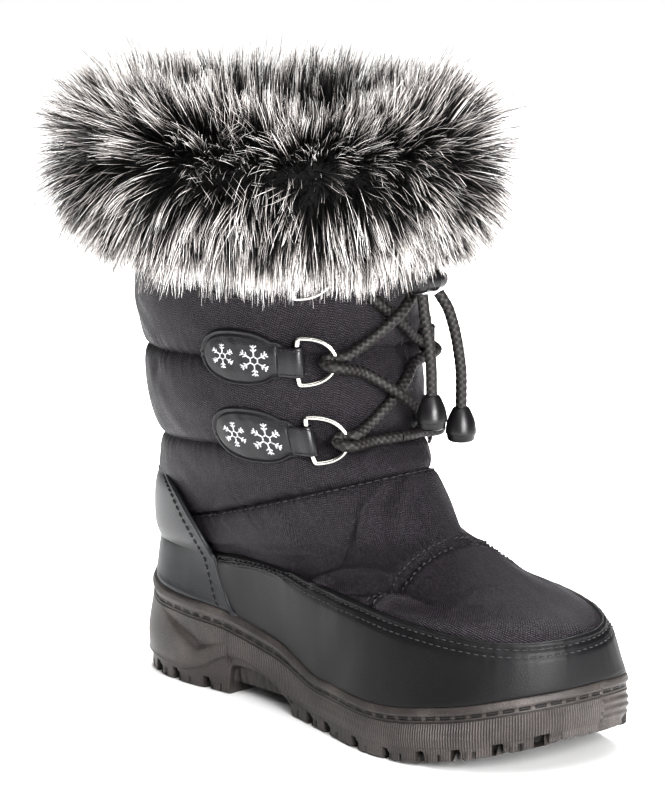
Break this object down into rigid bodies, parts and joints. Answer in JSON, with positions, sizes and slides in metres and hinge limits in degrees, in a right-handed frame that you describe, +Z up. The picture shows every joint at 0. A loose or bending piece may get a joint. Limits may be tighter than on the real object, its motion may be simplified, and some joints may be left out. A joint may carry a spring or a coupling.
{
  "type": "snow boot",
  "caption": "Ankle-high quilted snow boot for the right foot with a lugged cup sole, coated mudguard, long-pile cuff and a round cord laced through rings.",
  "frame": {"origin": "on the ground in the middle of the heel, under the leg of the wearer", "axes": "+X from heel to toe, +Y towards the inner side of the foot (the big toe's side), +Z up"},
  "size_m": [0.3267, 0.2102, 0.2849],
  "materials": {
    "sole_rubber": "matte, warm dark grey",
    "quilted_nylon": "black twill nylon with a soft sheen",
    "coated_fabric": "satin black coated synthetic",
    "long_pile": "long pile, black roots and pale tips",
    "insole_felt": "matte",
    "nickel_wire": "bright",
    "braided_cord": "matte braid",
    "moulded_plastic": "satin"
  },
  "bodies": {
    "root": {"outsole": "sole_rubber", "insole": "insole_felt", "upper": "quilted_nylon", "mudguard": "coated_fabric", "heel_counter": "coated_fabric", "fur_cuff": "long_pile", "ring_patch_top_outer": "coated_fabric", "ring_patch_top_inner": "coated_fabric", "ring_patch_middle_outer": "coated_fabric", "ring_patch_middle_inner": "coated_fabric", "ring_patch_lower_outer": "coated_fabric", "ring_patch_lower_inner": "coated_fabric", "d_ring_top_outer": "nickel_wire", "d_ring_top_inner": "nickel_wire", "d_ring_middle_outer": "nickel_wire", "d_ring_middle_inner": "nickel_wire", "d_ring_lower_outer": "nickel_wire", "d_ring_lower_inner": "nickel_wire", "lace_crossings": "braided_cord", "cord_lock": "moulded_plastic", "cord_end_left": "braided_cord", "cord_end_right": "braided_cord", "bell_left": "moulded_plastic", "bell_right": "moulded_plastic"}
  },
  "joints": []
}
